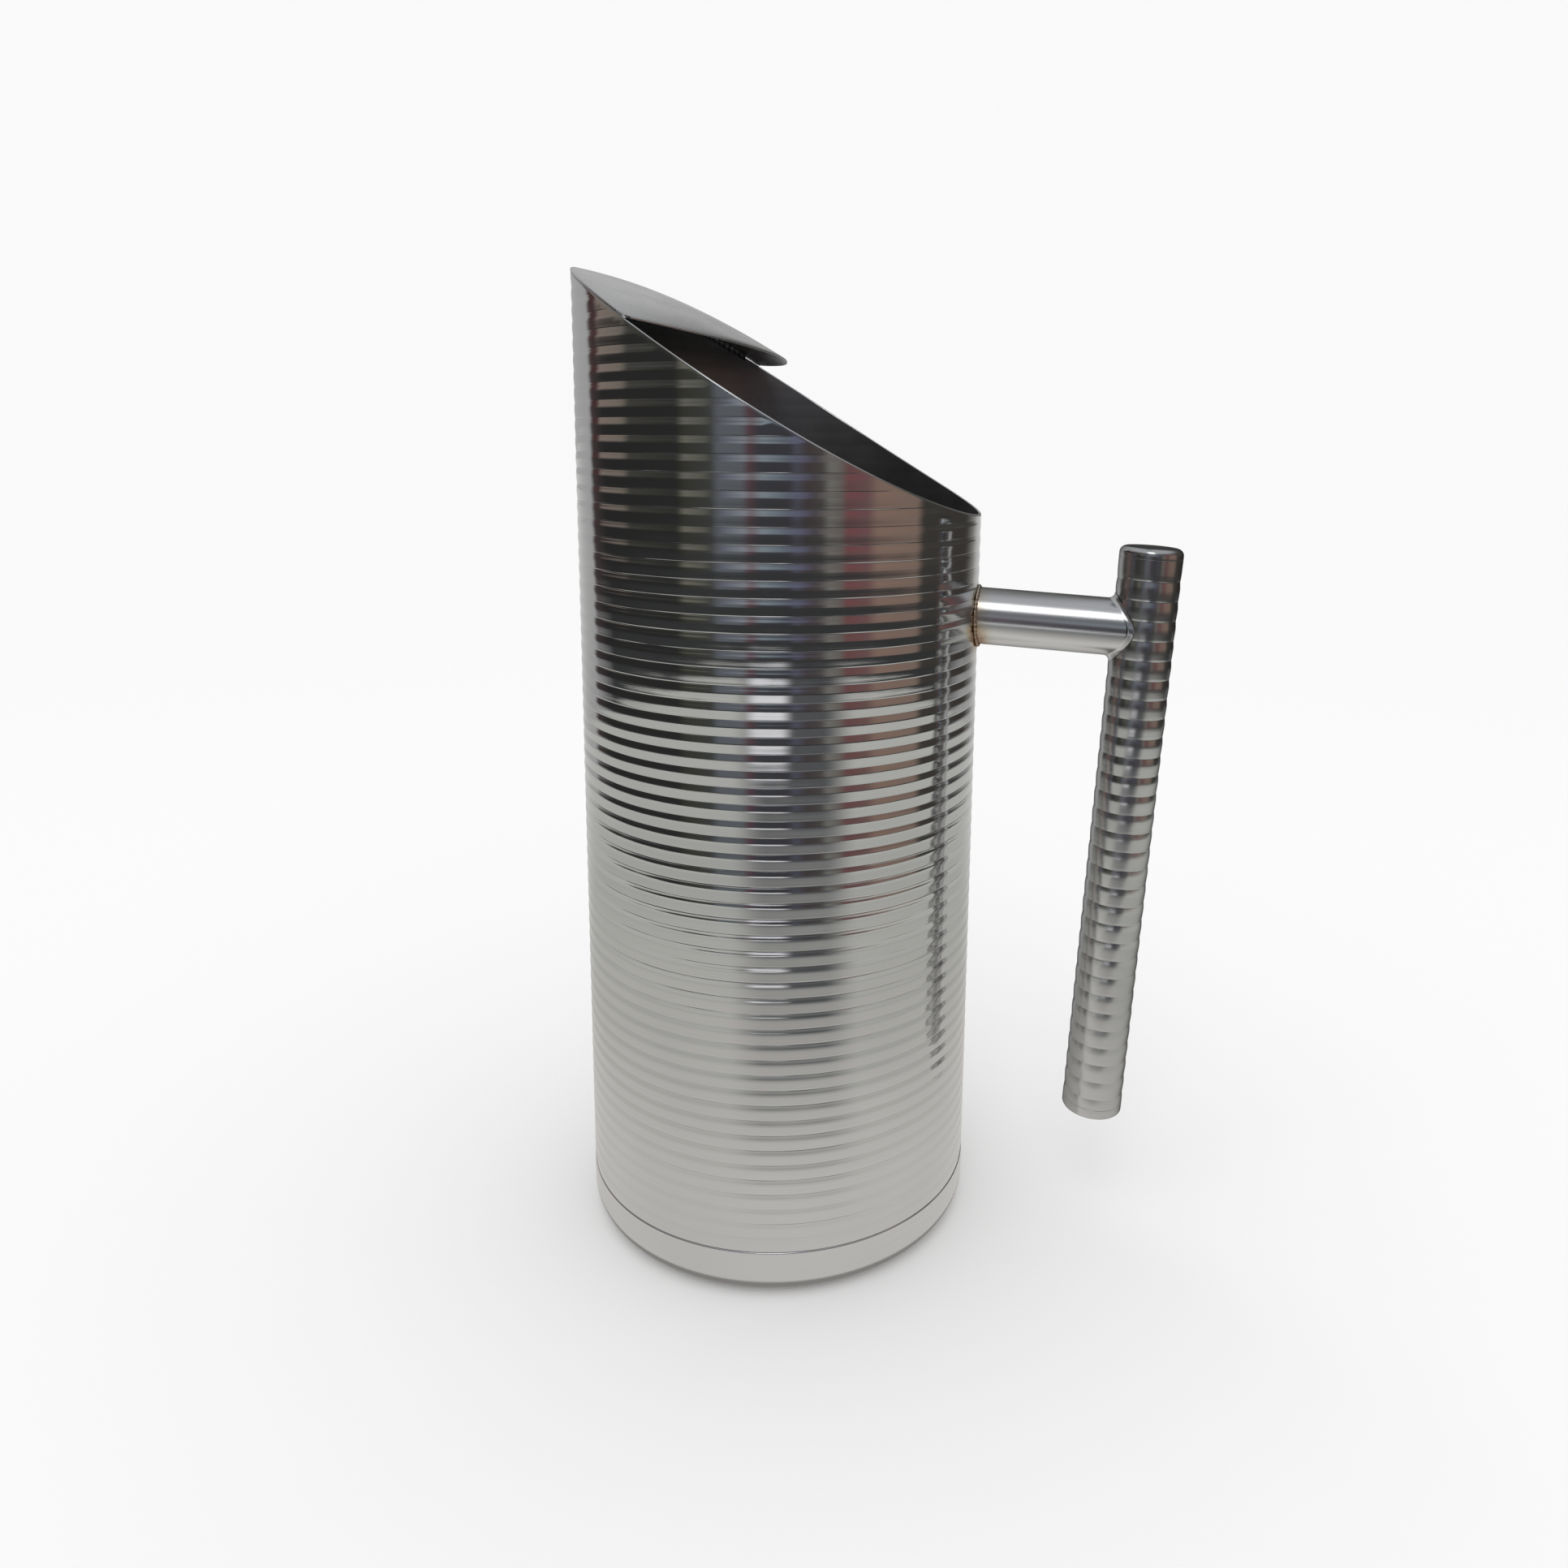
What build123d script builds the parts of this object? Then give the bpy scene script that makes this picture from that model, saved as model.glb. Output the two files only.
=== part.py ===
"""Slant-topped water pitcher of ribbed stainless sheet, with a T-shaped tube handle.

Frame: millimetres, origin at the centre of the base, +Z up, +X towards the handle, spout at -X.
"""
import os
from math import cos, radians, sin, sqrt

from build123d import *

os.makedirs("parts", exist_ok=True)

# ---- driving dimensions --------------------------------------------------------------------
sheet = 0.8                 # wall of the body and the cup
guard_sheet = 0.6
body_r = 54.0               # outside radius of the body

# The rim, seen from the side, as a curve over k = -x / body_r (+1 at the spout tip, -1 by the handle)
rim_mid = 227.3             # height above the body's axis
rim_slope = 33.3
rim_bow = 1.77
rim_turn = -2.08
rim_reach = 67.5            # the rim's curve is drawn this far each side of the axis

band_h = 13.2               # height of the base cup's plain band
corner_r = 6.8              # outside corner radius of the base cup
joint_bevel = 0.35          # bevel that leaves a line between cup and tube

rib_pitch = 4.08            # body grooves, counted up from the cup's joint line
groove_depth = 0.28
groove_w = 1.3

guard_crown = 0.186         # crown height over body_r, at the body's axis
guard_edge_x = -1.4         # free edge of the guard, at the middle
guard_near_x = -25.9        # and at its two ends on the rim, which aren't quite square
guard_far_x = -19.0
weld_size = 1.3             # leg of the welds inside the body
guard_weld_back = 5.0       # how far the weld under the guard stops behind the free edge
guard_reach = 59.4          # the guard's arched surface is made this far out, past the body,
guard_front = 10.8          # and this far forward of the body's axis, past the free edge

arm_r = 7.6
arm_wall = 1.2
arm_z = 171.1               # height at which the arm's axis leaves the body's outside
arm_droop = 2.85            # degrees below level; the grip leans by the same angle
arm_reach = 43.2            # from the body's outside to the grip's axis
arm_foot_weld = 1.0         # leg of the bead at the body
foot_weld_slope = 44        # degrees that the bead's face leans in towards the arm
arm_head_weld = 1.5         # radius of the fillet at the grip
root_gap = 0.8              # gap between arm and grip that this weld fills

grip_r = 8.15
grip_wall = 1.0
grip_above = 21.7           # from the arm's axis to the grip's top end
grip_below = 136.8          # and to its bottom end
grip_pitch = 5.14
grip_first = 13.2           # first groove above the arm's axis
grip_grooves = 29
grip_groove_depth = 0.3
grip_groove_w = 1.5
cap_h = 3.0
top_edge_r = 1.8
bottom_edge_r = 0.8

# ---- places worked out from them -----------------------------------------------------------
inner_r = body_r - sheet
droop = radians(arm_droop)
arm_dir = Vector(cos(droop), 0, -sin(droop))
grip_dir = Vector(sin(droop), 0, cos(droop))
arm_foot = Vector(body_r, 0, arm_z)
crossing = arm_foot + arm_dir * arm_reach
arm_plane = Plane(origin=arm_foot, x_dir=(0, 1, 0), z_dir=arm_dir)
grip_plane = Plane(origin=crossing, x_dir=(0, 1, 0), z_dir=grip_dir)
body_top = rim_mid + rim_slope + rim_bow + rim_turn


def rim_height(x):
    """Height of the slanted rim over a place x."""
    k = -x / body_r
    return rim_mid + rim_slope * k + rim_bow * k**2 + rim_turn * k**3


def guard_height(x, y):
    """Underside of the arched guard: it meets the rim where x, y lies on the body's outside."""
    return rim_height(x) + guard_crown * (body_r**2 - x**2 - y**2) / body_r


def evenly(low, high, count):
    """Evenly spaced places from low to high, both included."""
    return [low + (high - low) * i / (count - 1) for i in range(count)]


def finish_piece(piece, node):
    """Name the piece after its node and write it out."""
    piece.part.label = node
    export_step(piece.part, f"parts/{node}.step")


def grooved_wall(outer, heights, depth, width, low, high):
    """Outside line of a wall from low to high, as (r, z) points, with a V groove at each height."""
    points = [(outer, low)]
    for z in heights:
        points += [(outer, z - width / 2), (outer - depth, z), (outer, z + width / 2)]
    return points + [(outer, high)]


# ---- body ----------------------------------------------------------------------------------
blank_top = body_top + rib_pitch
rib_count = int((blank_top - band_h) / rib_pitch)
rib_heights = [band_h + rib_pitch * i for i in range(1, rib_count)]
wall_line = grooved_wall(body_r, rib_heights, groove_depth, groove_w, band_h + joint_bevel, blank_top)
lining = [(r - sheet, z) for r, z in reversed(wall_line)]
rim_places = evenly(-rim_reach, rim_reach, 11)

with BuildPart() as body_shell:
    with BuildSketch(Plane.XZ) as body_wall:
        with BuildLine():
            Polyline(
                (body_r - joint_bevel, band_h), *wall_line,
                *lining, (inner_r, band_h), close=True,
            )
        make_face()
    revolve(axis=Axis.Z)
    with BuildSketch(Plane.XZ) as above_rim:
        with BuildLine():
            slant = Spline(*[(x, rim_height(x)) for x in rim_places])
            Polyline(slant @ 1, (rim_reach, 2 * blank_top), (-rim_reach, 2 * blank_top), slant @ 0)
        make_face()
    extrude(amount=2 * body_r, both=True, mode=Mode.SUBTRACT)
finish_piece(body_shell, "body_shell")

with BuildPart() as base_cup:
    with BuildSketch(Plane.XZ) as cup_wall:
        with BuildLine():
            outside = FilletPolyline(
                (0, 0), (body_r, 0), (body_r, band_h - joint_bevel), radius=corner_r
            )
            inside = FilletPolyline(
                (inner_r, band_h), (inner_r, sheet), (0, sheet), radius=corner_r - sheet
            )
            Polyline(outside @ 1, (body_r - joint_bevel, band_h), inside @ 0)
            Line(inside @ 1, outside @ 0)
        make_face()
    revolve(axis=Axis.Z)
finish_piece(base_cup, "base_cup")

with BuildPart() as base_seam_weld:
    with BuildSketch(Plane.XZ) as seam_bead:
        with BuildLine():
            Line((inner_r, band_h - weld_size), (inner_r, band_h + weld_size))
            ThreePointArc(
                (inner_r, band_h + weld_size),
                (inner_r - weld_size / 2, band_h),
                (inner_r, band_h - weld_size),
            )
        make_face()
    revolve(axis=Axis.Z)
finish_piece(base_seam_weld, "base_seam_weld")

# ---- ice guard -----------------------------------------------------------------------------
# The arched underside is one surface through a grid of heights, taken past the body all round.
grid_x = evenly(-guard_reach, guard_front, 13)
grid_y = evenly(-guard_reach, guard_reach, 13)
arch = Face.make_surface_from_array_of_points(
    [[(x, y, guard_height(x, y)) for y in grid_y] for x in grid_x]
)


def guard_plan(radius, back=0.0):
    """Plan of the guard out to a radius, from its free edge, or a line back behind that, to the spout."""
    near_x, far_x = guard_near_x - back, guard_far_x - back
    near = (near_x, -sqrt(radius**2 - near_x**2))
    far = (far_x, sqrt(radius**2 - far_x**2))
    with BuildSketch(Plane.XY) as plan:
        with BuildLine():
            ThreePointArc(near, (guard_edge_x - back, 0), far)
            ThreePointArc(far, (-radius, 0), near)
        make_face()
    return plan.sketch


with BuildPart() as ice_guard:
    thicken(to_thicken=arch, amount=guard_sheet)
    extrude(to_extrude=guard_plan(body_r), amount=2 * body_top, mode=Mode.INTERSECT)
finish_piece(ice_guard, "ice_guard")

with BuildPart() as guard_weld:
    thicken(to_thicken=arch, amount=-weld_size)
    extrude(to_extrude=guard_plan(inner_r, guard_weld_back), amount=2 * body_top, mode=Mode.INTERSECT)
    with BuildSketch(Plane.XY):
        Circle(inner_r - weld_size)
    extrude(amount=2 * body_top, mode=Mode.SUBTRACT)
    add(body_shell.part, mode=Mode.SUBTRACT)
finish_piece(guard_weld, "guard_weld")

# ---- handle arm and its welds --------------------------------------------------------------
with BuildPart() as handle_arm:
    with BuildSketch(arm_plane.offset(-arm_foot_weld)):
        Circle(arm_r)
        Circle(arm_r - arm_wall, mode=Mode.SUBTRACT)
    extrude(amount=arm_reach + arm_foot_weld)
    with BuildSketch(Plane.XY):
        Circle(body_r)
    extrude(amount=body_top, mode=Mode.SUBTRACT)
    with BuildSketch(grip_plane):
        Circle(grip_r + root_gap)
    extrude(amount=2 * arm_r, both=True, mode=Mode.SUBTRACT)
finish_piece(handle_arm, "handle_arm")

with BuildPart() as arm_body_weld:
    with BuildSketch(arm_plane.offset(-arm_foot_weld)):
        Circle(arm_r + 2 * arm_foot_weld)
    extrude(amount=2 * arm_foot_weld, taper=foot_weld_slope)
    with BuildSketch(Plane.XY):
        Circle(body_r)
    extrude(amount=body_top, mode=Mode.SUBTRACT)
    with BuildSketch(arm_plane):
        Circle(arm_r)
    extrude(amount=arm_reach / 2, both=True, mode=Mode.SUBTRACT)
finish_piece(arm_body_weld, "arm_body_weld")

# The fillet is made on arm and grip as one body, and what the tubes and the bore fill is taken away.
with BuildPart() as arm_grip_weld:
    with BuildSketch(grip_plane):
        Circle(grip_r)
    extrude(amount=2 * arm_r, both=True)
    with BuildSketch(arm_plane.offset(arm_reach / 2)):
        Circle(arm_r)
    extrude(amount=arm_reach / 2)
    fillet(arm_grip_weld.edges(Select.LAST).filter_by(GeomType.BSPLINE), arm_head_weld)
    with BuildSketch(grip_plane):
        Circle(grip_r)
    extrude(amount=3 * arm_r, both=True, mode=Mode.SUBTRACT)
    with BuildSketch(arm_plane):
        Circle(arm_r - arm_wall)
    extrude(amount=arm_reach, mode=Mode.SUBTRACT)
    add(handle_arm.part, mode=Mode.SUBTRACT)
finish_piece(arm_grip_weld, "arm_grip_weld")

# ---- grip ----------------------------------------------------------------------------------
grip_top = grip_above - cap_h
grip_foot = cap_h - grip_below
groove_heights = [grip_first - grip_pitch * i for i in reversed(range(grip_grooves))]
grip_line = grooved_wall(grip_r, groove_heights, grip_groove_depth, grip_groove_w, grip_foot, grip_top)
grip_section = Plane(origin=crossing, x_dir=(cos(droop), 0, -sin(droop)), z_dir=(0, -1, 0))
grip_axis = Axis(crossing, grip_dir)

with BuildPart() as handle_grip:
    with BuildSketch(grip_section):
        with BuildLine():
            Polyline(*grip_line, (grip_r - grip_wall, grip_top), (grip_r - grip_wall, grip_foot), close=True)
        make_face()
    revolve(axis=grip_axis)
finish_piece(handle_grip, "handle_grip")

for node, end, inward, outer_edge, edge_r in (
    ("grip_top_cap", grip_above, -1, -1, top_edge_r),
    ("grip_bottom_cap", -grip_below, 1, 0, bottom_edge_r),
):
    with BuildPart() as cap:
        with BuildSketch(grip_plane.offset(end)):
            Circle(grip_r)
        extrude(amount=inward * cap_h)
        fillet(cap.edges().filter_by(GeomType.CIRCLE).sort_by(grip_axis)[outer_edge], edge_r)
    finish_piece(cap, node)
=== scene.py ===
"""Slant-topped pitcher of ribbed steel with a T-shaped tube handle: fine meshes, metals and a studio.

Metres, in the frame of the CAD model: origin at the centre of the base, +Z up, +X towards the handle.
"""
import math

import bpy
import numpy as np
from mathutils import Matrix, Vector


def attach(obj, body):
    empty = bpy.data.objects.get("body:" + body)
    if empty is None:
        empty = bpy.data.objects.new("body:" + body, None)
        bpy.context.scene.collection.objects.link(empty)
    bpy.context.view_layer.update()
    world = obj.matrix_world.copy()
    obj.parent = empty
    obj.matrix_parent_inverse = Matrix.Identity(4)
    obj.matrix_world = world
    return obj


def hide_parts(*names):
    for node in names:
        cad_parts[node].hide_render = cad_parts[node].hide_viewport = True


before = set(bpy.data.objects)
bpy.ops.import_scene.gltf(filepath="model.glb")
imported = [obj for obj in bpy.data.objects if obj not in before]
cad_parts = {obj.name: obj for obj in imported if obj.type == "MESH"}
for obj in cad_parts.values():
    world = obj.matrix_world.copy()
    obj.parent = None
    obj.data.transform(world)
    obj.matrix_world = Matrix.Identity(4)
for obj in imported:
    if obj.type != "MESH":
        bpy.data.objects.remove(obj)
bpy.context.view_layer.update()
MM = 0.001

# ---- dimensions, as the CAD model has them -------------------------------------------------
SHEET = 0.8 * MM
GUARD_SHEET = 0.6 * MM
BODY_R = 54.0 * MM
INNER_R = BODY_R - SHEET
BAND_H = 13.2 * MM
CORNER_R = 6.8 * MM
JOINT_BEVEL = 0.35 * MM
RIB_PITCH = 4.08 * MM
RIM_MID, RIM_SLOPE, RIM_BOW, RIM_TURN = 227.3 * MM, 33.3 * MM, 1.77 * MM, -2.08 * MM
GUARD_CROWN = 0.186
GUARD_NEAR_X, GUARD_EDGE_X, GUARD_FAR_X = -25.9 * MM, -1.4 * MM, -19.0 * MM
GUARD_WELD_BACK = 5.0 * MM
ARM_R, ARM_WALL, ARM_Z, ARM_REACH = 7.6 * MM, 1.2 * MM, 171.1 * MM, 43.2 * MM
GRIP_R, GRIP_WALL = 8.15 * MM, 1.0 * MM
GRIP_ABOVE, GRIP_BELOW, CAP_H = 21.7 * MM, 136.8 * MM, 3.0 * MM
GRIP_PITCH, GRIP_FIRST, GRIP_GROOVES = 5.14 * MM, 13.2 * MM, 29
ROOT_GAP = 0.8 * MM
DROOP = math.radians(2.85)

SKIN = 0.01 * MM            # the meshes stay this far inside the CAD's outer surfaces
TUCK = 0.02 * MM            # and what lies against a neighbour is moved this far into it or off it

arm_dir = np.array([math.cos(DROOP), 0, -math.sin(DROOP)])
grip_dir = np.array([math.sin(DROOP), 0, math.cos(DROOP)])
side = np.array([0.0, 1.0, 0.0])
arm_foot = np.array([BODY_R, 0, ARM_Z])
crossing = arm_foot + arm_dir * ARM_REACH
chance = np.random.default_rng(7)


def rim_height(x):
    """Height of the slanted rim over a place x."""
    k = -x / BODY_R
    return RIM_MID + RIM_SLOPE * k + RIM_BOW * k**2 + RIM_TURN * k**3


def guard_height(x, y):
    """Underside of the arched guard."""
    return rim_height(x) + GUARD_CROWN * (BODY_R**2 - x**2 - y**2) / BODY_R


# ---- mesh helpers --------------------------------------------------------------------------
def unit(vectors):
    return vectors / np.linalg.norm(vectors, axis=-1)[..., None]


def ring(count):
    """Angles of evenly spaced places round a circle."""
    return np.arange(count) * 2 * math.pi / count


def quads(rows, cols, close_rows=False, close_cols=True):
    """Faces of a grid whose points are numbered row by row."""
    i = np.arange(rows if close_rows else rows - 1)[:, None]
    j = np.arange(cols if close_cols else cols - 1)[None, :]
    i2, j2 = (i + 1) % rows, (j + 1) % cols
    return np.stack([i * cols + j, i * cols + j2, i2 * cols + j2, i2 * cols + j], -1).reshape(-1, 4)


def spun_faces(rows, cols):
    """Faces of a turned section that starts and ends on its axis, where a row is drawn in to one point."""
    index = np.arange(rows * cols).reshape(-1, cols)
    index[0] = 0
    index[-1] = index[-1, 0]
    return index.reshape(-1)[quads(rows, cols)]


def bar_faces(rows, cols, flip=False):
    """Faces round a bar whose rows run along it, with one face over each end."""
    faces = quads(rows, cols, close_rows=True, close_cols=False).tolist()
    faces.append([r * cols for r in reversed(range(rows))])
    faces.append([r * cols + cols - 1 for r in range(rows)])
    return [face[::-1] for face in faces] if flip else faces


def add_piece(name, points, faces, node, slot, *materials, normals=None, shades=None):
    """One mesh object that stands for a CAD node, with repeated corners and unused points dropped."""
    points = np.asarray(points, float).reshape(-1, 3)
    clean, kept = [], []
    for n, face in enumerate(faces):
        corners = [int(c) for k, c in enumerate(face) if c != face[k - 1]]
        if len(set(corners)) > 2:
            clean.append(corners)
            kept.append(n)
    used = np.unique(np.concatenate([np.array(f) for f in clean]))
    place = np.full(len(points), -1)
    place[used] = np.arange(len(used))
    mesh = bpy.data.meshes.new(name)
    mesh.from_pydata(points[used].tolist(), [], [[int(place[c]) for c in f] for f in clean])
    mesh.polygons.foreach_set("use_smooth", np.ones(len(clean), bool))
    for material in materials:
        mesh.materials.append(material)
    if shades is not None:
        mesh.polygons.foreach_set("material_index", np.asarray(shades)[kept].astype(np.int32))
    mesh.update()
    if normals is not None:
        mesh.normals_split_custom_set_from_vertices(np.asarray(normals).reshape(-1, 3)[used].tolist())
    piece = bpy.data.objects.new(name, mesh)
    bpy.context.scene.collection.objects.link(piece)
    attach(piece, "root")
    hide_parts(node)


def turned(section, cols, origin=(0, 0, 0), axis=(0, 0, 1), across=(1, 0, 0)):
    """Points and normals of a section (r, h) turned round an axis; the section's left side is inside."""
    section = np.asarray(section, float)
    along = np.gradient(section, axis=0)
    along /= np.linalg.norm(along, axis=1)[:, None] + 1e-12
    axis, across = np.asarray(axis, float), np.asarray(across, float)
    other = np.cross(axis, across)
    out = np.cos(ring(cols))[:, None] * across + np.sin(ring(cols))[:, None] * other
    points = np.asarray(origin) + section[:, 0, None, None] * out + section[:, 1, None, None] * axis
    normals = along[:, 1, None, None] * out - along[:, 0, None, None] * axis
    return points, normals


def corner(cx, cy, radius, start, stop, steps):
    """Points of an arc in a section, from one angle to another, in degrees."""
    angle = np.radians(np.linspace(start, stop, steps))
    return np.stack([cx + radius * np.cos(angle), cy + radius * np.sin(angle)], -1)


# ---- materials -----------------------------------------------------------------------------
class Nodes:
    """Short names for the shader nodes used below."""

    def __init__(self, tree):
        self.tree = tree
        tree.nodes.clear()

    def new(self, kind, settings=None, **inputs):
        """A node; inputs are named with _ for a space, or as _0, _1 by their number."""
        node = self.tree.nodes.new(kind)
        for key, value in (settings or {}).items():
            setattr(node, key, value)
        for key, value in inputs.items():
            self.put(node, int(key[1:]) if key[0] == "_" else key.replace("_", " "), value)
        return node

    def put(self, node, key, value):
        socket = node.inputs[key]
        if isinstance(value, bpy.types.NodeSocket):
            self.tree.links.new(value, socket)
        else:
            socket.default_value = value

    def math(self, operation, a, b=0.0, c=0.0):
        node = self.new("ShaderNodeMath", {"operation": operation}, _0=a, _1=b)
        if operation == "MULTIPLY_ADD":
            self.put(node, 2, c)
        return node.outputs[0]

    def vector(self, operation, a, b=(0, 0, 0)):
        node = self.new("ShaderNodeVectorMath", {"operation": operation}, _0=a, _1=b)
        return node.outputs["Value" if operation == "LENGTH" else "Vector"]

    def about(self, value, middle):
        """How far a value is from a middle one, either way."""
        return self.math("ABSOLUTE", self.math("SUBTRACT", value, middle))

    def split(self, vector):
        return self.new("ShaderNodeSeparateXYZ", Vector=vector).outputs

    def turn(self, vector, angle):
        node = self.new("ShaderNodeVectorRotate", {"rotation_type": "Z_AXIS"}, Vector=vector, Angle=angle)
        return node.outputs[0]

    def noise(self, where, scale, detail=2.0, rough=0.5, stretch=None):
        if stretch:
            where = self.new("ShaderNodeMapping", Vector=where, Scale=stretch).outputs[0]
        node = self.new("ShaderNodeTexNoise", Vector=where, Scale=scale, Detail=detail, Roughness=rough)
        return node.outputs[0]

    def span(self, value, low, high, to_low=0.0, to_high=1.0, smooth=False):
        kind = {"interpolation_type": "SMOOTHSTEP"} if smooth else {}
        node = self.new("ShaderNodeMapRange", kind, _0=value, _1=low, _2=high, _3=to_low, _4=to_high)
        return node.outputs[0]

    def mix(self, factor, a, b, blend="MIX"):
        """A mixture of two colours, each a socket or red, green and blue."""
        node = self.new("ShaderNodeMix", {"data_type": "RGBA", "blend_type": blend}, _0=factor)
        for key, colour in ((6, a), (7, b)):
            self.put(node, key, (*colour, 1) if isinstance(colour, tuple) else colour)
        return node.outputs[2]

    def ramp(self, value, stops):
        """Colours by value, with the stops in order from 0 to 1."""
        node = self.new("ShaderNodeValToRGB", _0=value)
        elements = node.color_ramp.elements
        for place, _ in stops[1:-1]:
            elements.new(place)
        for element, (place, colour) in zip(elements, stops):
            element.position = place
            element.color = (*colour, 1)
        return node.outputs[0]

    def surface(self, shader):
        self.new("ShaderNodeOutputMaterial", Surface=shader)


def new_material(name):
    material = bpy.data.materials.new(name)
    material.use_nodes = True
    return material, Nodes(material.node_tree)


def grey(value, warm=0.0):
    return (value * (1 + warm), value, value * (1 - warm))


def from_arm_weld(n, where):
    """Distance from the bead at the arm's foot, ragged, and counted as further towards the arm's top."""
    spot = n.split(where)
    out = n.math("SUBTRACT", n.vector("LENGTH", n.vector("MULTIPLY", where, (1, 1, 0))), BODY_R)
    off_axis = n.vector("MULTIPLY", n.vector("SUBTRACT", where, tuple(arm_foot)), (0, 1, 1))
    spread = n.math("SUBTRACT", n.vector("LENGTH", off_axis), ARM_R)
    out_squared = n.math("POWER", n.math("MAXIMUM", out, 0.0), 2.0)
    spread_squared = n.math("POWER", n.math("MAXIMUM", spread, 0.0), 2.0)
    away = n.math("SQRT", n.math("ADD", out_squared, spread_squared))
    away = n.math("ADD", away, n.span(n.noise(where, 330.0, 3.0), 0.2, 0.8, -0.9 * MM, 0.9 * MM))
    away = n.math("ADD", away, n.span(spot[2], ARM_Z - ARM_R, ARM_Z + ARM_R, -0.2 * MM, 2.6 * MM))
    only_at_handle = n.span(spot[0], 0.0, 0.01, 0.1, 0.0)
    return n.math("ADD", away, only_at_handle)


def steel(name, tone, low, high, grain, grain_depth, wave_depth=0.0, brushed=0.0, heat=False, warm=0.0,
          wave_size=(45.0, 45.0, 90.0), edge=1.0):
    """Stainless steel: brushing grain, soft smudges, fine scratches and, if asked, a heat-tinted place.

    low and high bound the roughness; grain stretches the brushing along the axis of its lowest number;
    edge is how much the metal keeps of its brightness where it is seen at a glancing angle.
    """
    material, n = new_material(name)
    where = n.new("ShaderNodeTexCoord").outputs["Object"]
    lines = n.noise(where, 1.0, 3.0, 0.6, grain)
    smudge = n.noise(where, 70.0, 3.0, 0.55)
    patch = n.noise(where, 22.0)
    scratch = n.span(n.noise(where, 1.0, stretch=tuple(g * 0.45 for g in grain)), 0.66, 0.72)

    light, dark = grey(min(tone * 1.04, 0.95), warm * 0.4), grey(tone * 0.96, warm)
    base = n.mix(n.span(patch, 0.3, 0.7), dark, light)
    base = n.mix(n.span(lines, 0.35, 0.65, 0.0, 0.10), base, grey(tone * 0.72, warm))
    uneven = n.math("MULTIPLY_ADD", lines, 0.35, n.math("MULTIPLY", smudge, 0.65))
    rough = n.math("MULTIPLY_ADD", scratch, 0.06, n.span(uneven, 0.35, 0.65, low, high))
    if heat:
        away = from_arm_weld(n, where)
        tint = n.ramp(n.span(away, 0.0, 6.0 * MM), (
            (0.0, (0.60, 0.41, 0.32)), (0.16, (0.64, 0.46, 0.34)), (0.34, (0.82, 0.68, 0.52)),
            (0.55, (0.92, 0.86, 0.75)), (0.75, (0.98, 0.96, 0.91)), (1.0, (1.0, 1.0, 1.0))))
        base = n.mix(1.0, base, tint, "MULTIPLY")
        rough = n.math("ADD", rough, n.span(away, 0.0, 4.0 * MM, 0.12, 0.0))

    height = n.math("MULTIPLY", lines, grain_depth)
    if wave_depth:
        wave = n.noise(where, 1.0, 1.0, 0.4, wave_size)
        height = n.math("MULTIPLY_ADD", wave, wave_depth, height)
    height = n.math("MULTIPLY_ADD", scratch, -0.4 * grain_depth, height)
    bump = n.new("ShaderNodeBump", Strength=1.0, Distance=1.0, Height=height)
    shader = n.new("ShaderNodeBsdfPrincipled", Base_Color=base, Metallic=1.0, Roughness=rough,
                   Normal=bump.outputs[0], Anisotropic=brushed, Specular_Tint=(*grey(edge), 1))
    if brushed:
        tangent = n.new("ShaderNodeTangent", {"direction_type": "RADIAL", "axis": "Z"})
        n.put(shader, "Tangent", tangent.outputs[0])
    n.surface(shader.outputs[0])
    return material


RINGED = (18.0, 18.0, 5200.0)       # grain round the Z axis, as rolled or spun
BEADED = (420.0, 420.0, 420.0)      # no grain, only the roughness of a weld

ribbed = steel("ribbed_steel", 0.74, 0.045, 0.10, RINGED, 3.0e-6, 2.4e-5, 0.25, heat=True,
               wave_size=(110.0, 110.0, 170.0))
# The inside's steel, also on the base cup's inside: rougher, and a darker copy of the steel, painted darker
# for the shade inside the pitcher.
shaded_lining = steel("shaded_lining_steel", 0.42, 0.42, 0.58, RINGED, 8.0e-6, 2.0e-5, 0.25)
cup = steel("base_steel", 0.76, 0.12, 0.22, RINGED, 5.0e-6, 1.0e-5, 0.4)
plate = steel("guard_steel", 0.72, 0.20, 0.32, (4200.0, 30.0, 4200.0), 6.0e-6, 1.5e-5)
bright = steel("arm_steel", 0.80, 0.17, 0.24, (26.0, 900.0, 900.0), 3.0e-6, 0.8e-5, heat=True, edge=0.45)
grip_metal = steel("grip_steel", 0.68, 0.15, 0.24, RINGED, 5.0e-6, 1.4e-5, 0.3, edge=0.2,
                   wave_size=(160.0, 160.0, 200.0))
bead = steel("weld_metal", 0.62, 0.22, 0.40, BEADED, 2.0e-5)
tinted = steel("tinted_weld", 0.72, 0.20, 0.36, BEADED, 3.0e-5, heat=True, warm=0.05)

# ---- ribs of the body and the grip ---------------------------------------------------------
BODY_FLANK, GRIP_FLANK = 0.037, 0.030           # how steep the ribs are
GROOVE = math.acos((3 - math.sqrt(17)) / 4)     # the swelling's lowest and highest places, either side of 0
CREST = 3 * math.sin(GROOVE) - 0.5 * math.sin(2 * GROOVE)


def swelling(height, pitch, flank):
    """Offset and slope of ribs, one to a pitch: from a groove at 0, a long gentle flank, then a steep one."""
    v = 2 * math.pi * height / pitch - GROOVE
    offset = flank * pitch / (2 * math.pi) * (3 * np.sin(v) - 0.5 * np.sin(2 * v) - CREST)
    return offset, flank * (3 * np.cos(v) - np.cos(2 * v))


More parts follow.
